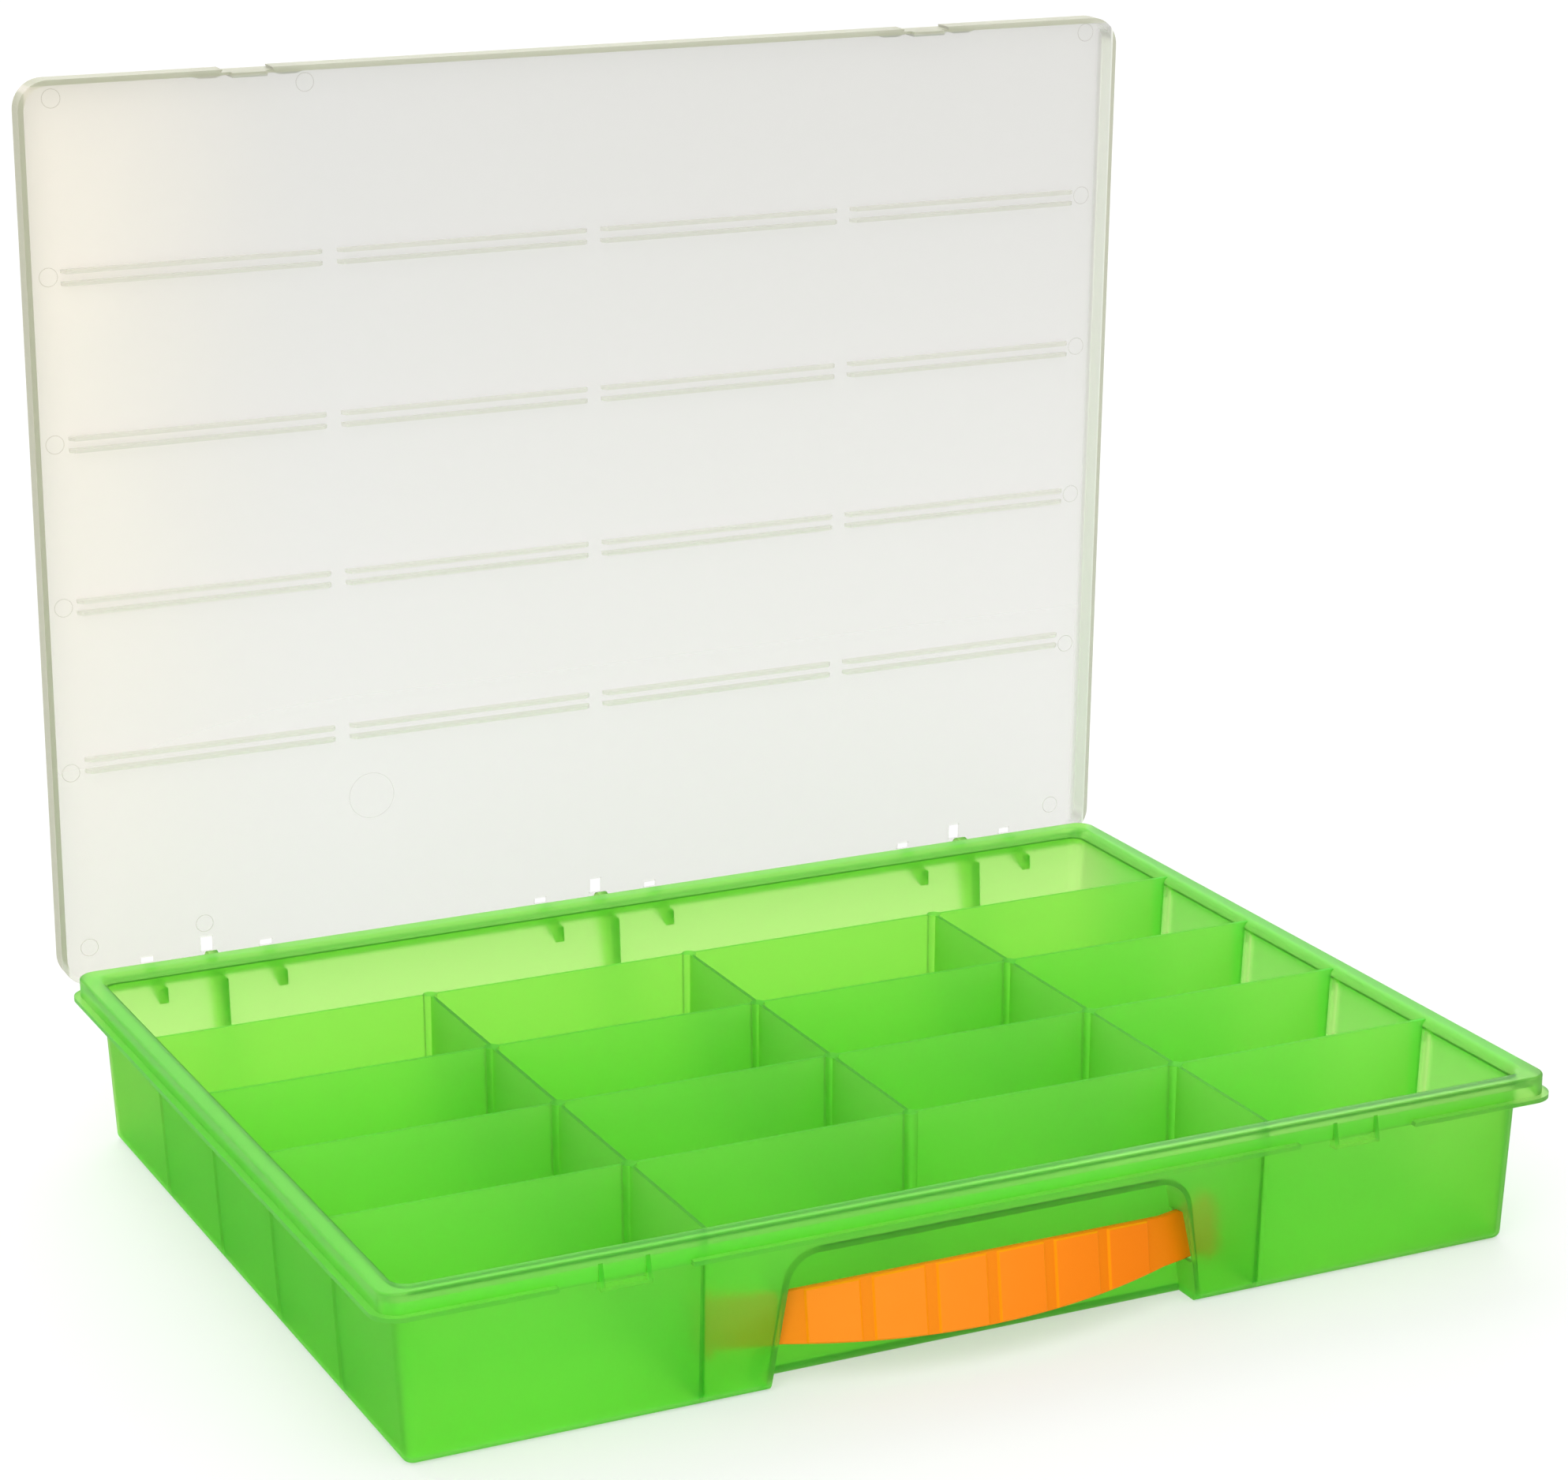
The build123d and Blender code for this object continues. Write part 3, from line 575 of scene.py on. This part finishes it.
# %% Half the strap's section along its length
BOW_RADIUS = 208.0 * MM  # of the band's middle
STRAP_THICKNESS = 2.4 * MM
GRIP_HALF_HEIGHT, GRIP_HALF_LENGTH = 11.5 * MM, 65 * MM
END_HALF_HEIGHT = 8.0 * MM
HEAD_LENGTH = 4.8 * MM
SHOULDER_LENGTH = 0.5 * MM  # from the band to the head
HEAD_HALF_HEIGHT, HEAD_TIP_HALF_HEIGHT = 10.8 * MM, 7.5 * MM
HEAD_HALF_THICKNESS = 2.0 * MM
END_ROUND = 0.8 * MM
CORNER_ROUND = 0.45 * MM
strap_low, strap_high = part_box("carry_strap")
strap_x = (strap_low[0] + strap_high[0]) / 2
half_length = (strap_high[0] - strap_x) / (1 + HEAD_HALF_THICKNESS / BOW_RADIUS)


def smooth(distance, width):
    """0 to 1 across a width centred on distance 0: 3t^2 - 2t^3, with t held between 0 and 1."""
    t = np.clip(distance / width + 0.5, 0, 1)
    return t * t * (3 - 2 * t)


def half_height(along):
    """A circular arc over the grip, straight beside it, and a taper over each snap head."""
    sag = GRIP_HALF_HEIGHT - END_HALF_HEIGHT
    arc = (GRIP_HALF_LENGTH**2 + sag**2) / (2 * sag)
    over_grip = np.minimum(np.abs(along), GRIP_HALF_LENGTH)
    band = GRIP_HALF_HEIGHT - (arc - np.sqrt(arc**2 - over_grip**2))
    into_head = np.abs(along) - (half_length - HEAD_LENGTH)
    taper = (HEAD_HALF_HEIGHT - HEAD_TIP_HALF_HEIGHT) / HEAD_LENGTH
    head = HEAD_HALF_HEIGHT - taper * np.maximum(into_head, 0)
    return band + (head - band) * smooth(into_head, SHOULDER_LENGTH)


def half_thickness(along):
    """The band's, and the head's beyond the shoulder."""
    into_head = np.abs(along) - (half_length - HEAD_LENGTH)
    band = STRAP_THICKNESS / 2
    return band + (HEAD_HALF_THICKNESS - band) * smooth(into_head, SHOULDER_LENGTH)


print("strap", round(2 * half_length / MM, 1), "by", round(2 * GRIP_HALF_HEIGHT / MM, 1), "mm")

# %% Raised pads
PAD_COUNT, PAD_PITCH, PAD_GROOVE = 6, 20 * MM, 4.0 * MM
PAD_RISE = 0.8 * MM
PAD_BORDER = 0.45 * MM
PAD_SOFTNESS = 0.9 * MM


def pad_height(along, up, edge):
    """PAD_RISE times a step along the strap times a step towards its long edges.

    The first is 1 within half a pad of the nearest pad's middle, the second 1 where the point
    is further than PAD_BORDER from the edge.
    """
    first_pad = -(PAD_COUNT - 1) / 2 * PAD_PITCH
    number = np.clip(np.round((along - first_pad) / PAD_PITCH), 0, PAD_COUNT - 1)
    off_middle = np.abs(along - first_pad - number * PAD_PITCH)
    lengthwise = smooth((PAD_PITCH - PAD_GROOVE) / 2 - off_middle, PAD_SOFTNESS)
    upwards = smooth(edge - np.abs(up) - PAD_BORDER, PAD_SOFTNESS)
    return PAD_RISE * lengthwise * upwards


print(PAD_COUNT, "pads", round((PAD_PITCH - PAD_GROOVE) / MM, 1), "mm long")

# %% Section and sweep
ALONG_STEPS, FRONT_STEPS, BACK_STEPS, CORNER_STEPS = 960, 60, 8, 4


def section_loop():
    """The section as four arrays over one turn, front face upwards, then round the back.

    A point is side * (half thickness - round) + turn_out * round from the band's middle, and
    height * (half height - round) + turn_up * round above it.  On the faces the height runs as
    a sine, which packs points near the corners.
    """
    front = np.sin(np.linspace(-np.pi / 2, np.pi / 2, FRONT_STEPS + 1))
    back = np.linspace(1, -1, BACK_STEPS + 1)[1:-1]
    quarter = np.linspace(0, np.pi / 2, CORNER_STEPS + 1)
    turns = [quarter[1:], quarter + np.pi / 2, quarter + np.pi, quarter[:-1] + 1.5 * np.pi]
    sides, heights = (1, -1, -1, 1), (1, 1, -1, -1)
    corner = [
        (np.full(turn.size, side), np.full(turn.size, height), np.cos(turn), np.sin(turn))
        for turn, side, height in zip(turns, sides, heights)
    ]
    ones, zeros = np.ones, np.zeros
    parts = [
        (ones(front.size), front, ones(front.size), zeros(front.size)),
        corner[0],
        corner[1],
        (-ones(back.size), back, -ones(back.size), zeros(back.size)),
        corner[2],
        corner[3],
    ]
    return [np.concatenate(rows) for rows in zip(*parts)], front.size


(side, height, turn_out, turn_up), on_front = section_loop()
along = np.linspace(-half_length, half_length, ALONG_STEPS + 1)[:, None]
over = np.clip(np.abs(along) - (half_length - END_ROUND), 0, END_ROUND)
shrink = END_ROUND - np.sqrt(END_ROUND**2 - over**2)  # the ends are rounded by a quarter circle
edge = half_height(along) - shrink
thick = half_thickness(along) - shrink
out = side * (thick - CORNER_ROUND) + turn_out * CORNER_ROUND
up = height * (edge - CORNER_ROUND) + turn_up * CORNER_ROUND
pads = np.zeros_like(out)
pads[:, :on_front] = pad_height(along, up[:, :on_front], edge)
out += pads
print("strap grid", out.shape)

# %% Wrap it on the bow, let it lean and close the ends
APEX_Y, APEX_Z = -148.3 * MM, 23.4 * MM  # the band's middle at the middle of the bow
LEAN = radians(7.8)  # the lower edge is forwards

turn = np.arcsin(along / BOW_RADIUS)
behind = BOW_RADIUS - (BOW_RADIUS + out) * np.cos(turn)
grid = np.stack(
    [
        strap_x + (BOW_RADIUS + out) * np.sin(turn),
        APEX_Y + behind * np.cos(LEAN) + up * np.sin(LEAN),
        APEX_Z + up * np.cos(LEAN) - behind * np.sin(LEAN),
    ],
    axis=-1,
)
rows, columns = grid.shape[:2]
index = np.arange(rows * columns).reshape(rows, columns)
beside = np.roll(index, -1, axis=1)
quads = np.stack([index[:-1], index[1:], beside[1:], beside[:-1]], axis=-1).reshape(-1, 4)
tips = np.stack([grid[0].mean(axis=0), grid[-1].mean(axis=0)])
first_cap = np.stack([index[0], beside[0], np.full(columns, rows * columns)], axis=-1)
last_cap = np.stack([beside[-1], index[-1], np.full(columns, rows * columns + 1)], axis=-1)


def new_piece(name, points, faces, material):
    """A smooth mesh object at the origin from arrays of points and faces."""
    mesh = bpy.data.meshes.new(name)
    mesh.from_pydata(points.tolist(), [], [face for block in faces for face in block.tolist()])
    mesh.polygons.foreach_set("use_smooth", np.ones(len(mesh.polygons), dtype=bool))
    mesh.materials.append(material)
    made = bpy.data.objects.new(name, mesh)
    scene.collection.objects.link(made)
    return made


points = np.concatenate([grid.reshape(-1, 3), tips])
strap = new_piece("soft_strap", points, [quads, first_cap, last_cap], orange)
raised = strap.data.attributes.new("raised", "FLOAT", "POINT")
raised.data.foreach_set("value", np.append(pads.ravel() / PAD_RISE, [0, 0]))
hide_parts("carry_strap")
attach(strap, "handle")
print("strap piece from", points.min(axis=0).round(4), "to", points.max(axis=0).round(4))

# %% [markdown]
# ## Ejector marks
#
# Pins push the finished lid out of its mould, and each leaves a thin raised ring on the inside.  A
# larger and finer ring is taken for the gate, where the plastic flowed in.
# A ring is a torus with an oval section: one angle runs round the ring, the other round the
# section.  The marks are laid out on the closed lid, where they are easy to measure from a
# corner, and then swung open about the hinge with the lid.

# %% Rings on the closed lid
PIN_RADIUS = 3.05 * MM
GATE_RADIUS = 8.2 * MM
PIN_HALF_WIDTH, GATE_HALF_WIDTH, RING_HALF_HEIGHT = 0.13 * MM, 0.07 * MM, 0.06 * MM
RING_STEPS, SECTION_STEPS = 72, 8
PLATE_UNDERSIDE = 58.2 * MM  # of the closed lid
RIM_CORNER = (-197.0, -149.0)  # the rim's front left corner
# in millimetres from that corner, on the closed lid
PIN_PLACES = [
    (9.7, 3.9), (6.0, 61.2), (5.4, 116.5), (5.5, 172.0), (5.2, 229.7), (95.0, 3.6), (388.0, 3.0),
    (8.6, 293.0), (49.8, 290.4), (384.4, 293.0),
    (388.6, 61.2), (388.6, 116.5), (388.6, 172.0), (388.6, 229.7),
]
GATE_PLACE = (112.1, 252.1)

hinge = next(joint for joint in frame["joints"] if joint["name"] == "lid_hinge")
hinge_at = np.array(hinge["pos_m"])


def ring(centre, radius, half_width):
    """Points of an oval torus: (radius + width cos b) round the centre, height sin b above."""
    a = np.linspace(0, 2 * np.pi, RING_STEPS, endpoint=False)[:, None]
    b = np.linspace(0, 2 * np.pi, SECTION_STEPS, endpoint=False)
    reach = radius + half_width * np.cos(b)
    x = (RIM_CORNER[0] + centre[0]) * MM + reach * np.cos(a)
    y = (RIM_CORNER[1] + centre[1]) * MM + reach * np.sin(a)
    z = PLATE_UNDERSIDE + RING_HALF_HEIGHT * np.sin(b) + 0 * a
    return np.stack([x, y, z], axis=-1)


def swing_open(points, angle):
    """The points turned by an angle about the hinge, which runs along X."""
    y, z = points[..., 1] - hinge_at[1], points[..., 2] - hinge_at[2]
    c, s = np.cos(angle), np.sin(angle)
    return np.stack([points[..., 0], hinge_at[1] + y * c - z * s, hinge_at[2] + y * s + z * c], axis=-1)


open_angle = -radians(hinge["range_deg"][1])
pin_rings = [ring(place, PIN_RADIUS, PIN_HALF_WIDTH) for place in PIN_PLACES]
rings = np.stack(pin_rings + [ring(GATE_PLACE, GATE_RADIUS, GATE_HALF_WIDTH)])
number = np.arange(rings[..., 0].size).reshape(rings.shape[:3])
ahead = np.roll(number, -1, axis=1)
faces = np.stack(
    [number, ahead, np.roll(ahead, -1, axis=2), np.roll(number, -1, axis=2)], axis=-1
).reshape(-1, 4)
marks = new_piece("ejector_marks", swing_open(rings, open_angle).reshape(-1, 3), [faces], milky_ring)
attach(marks, "lid")
print(len(rings), "rings, open by", round(-open_angle, 3), "rad")
